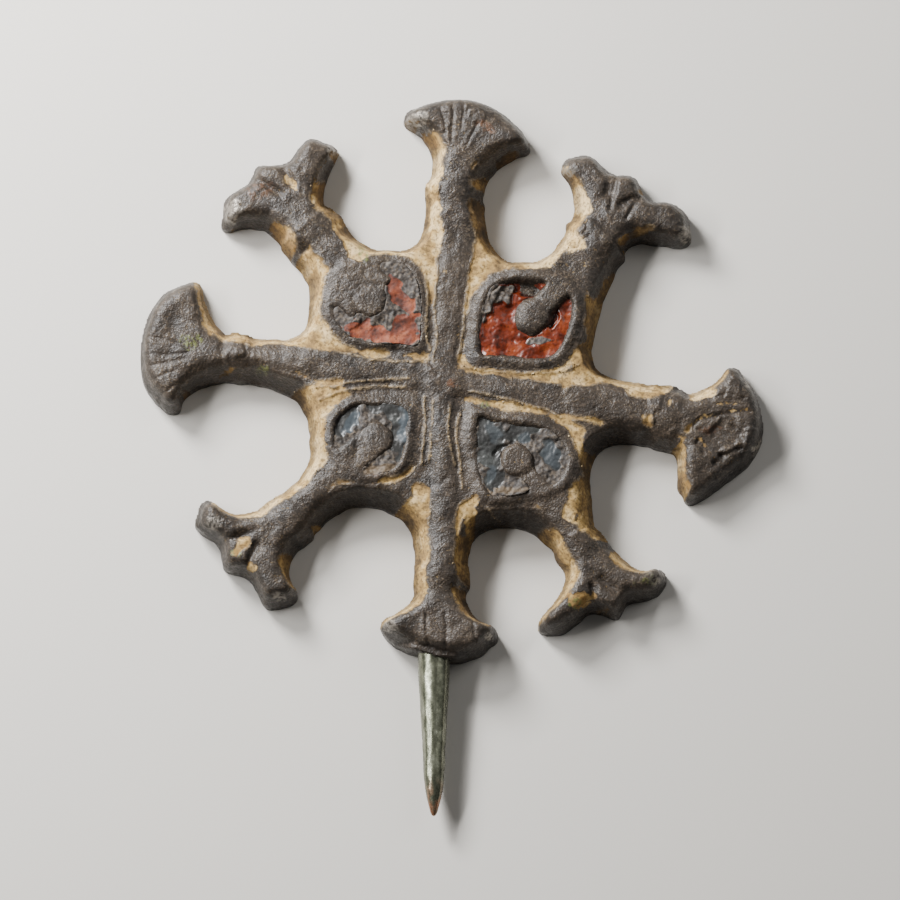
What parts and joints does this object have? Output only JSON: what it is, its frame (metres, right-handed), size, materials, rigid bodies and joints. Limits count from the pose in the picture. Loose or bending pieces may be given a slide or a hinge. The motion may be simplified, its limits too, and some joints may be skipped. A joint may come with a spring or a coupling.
{
  "type": "enamelled pin badge",
  "caption": "Cast bronze cross badge with splayed arms, enamelled cells round its hub and a tapered pin shank below, lying on its flat back.",
  "frame": {"origin": "hub centre on the flat back, which rests on the surface", "axes": "+Z out of the enamelled face, +Y from the hub to the top arm, so the pin points to -Y, +X to the right seen from the face"},
  "size_m": [0.0531, 0.0624, 0.0041],
  "materials": {
    "cast_bronze": "dark brown grey patina with cream and ochre earth in the hollows",
    "pin_bronze": "smooth grey green, polished by wear, copper coloured at the tip",
    "red_enamel": "decayed glossy opaque red enamel",
    "blue_enamel": "dark blue enamel, glossy where it survives"
  },
  "bodies": {
    "root": {"cast_cross": "cast_bronze", "pin_shank": "pin_bronze", "enamel_upper_left": "red_enamel", "enamel_upper_right": "red_enamel", "enamel_lower_left": "blue_enamel", "enamel_lower_right": "blue_enamel"}
  },
  "joints": []
}
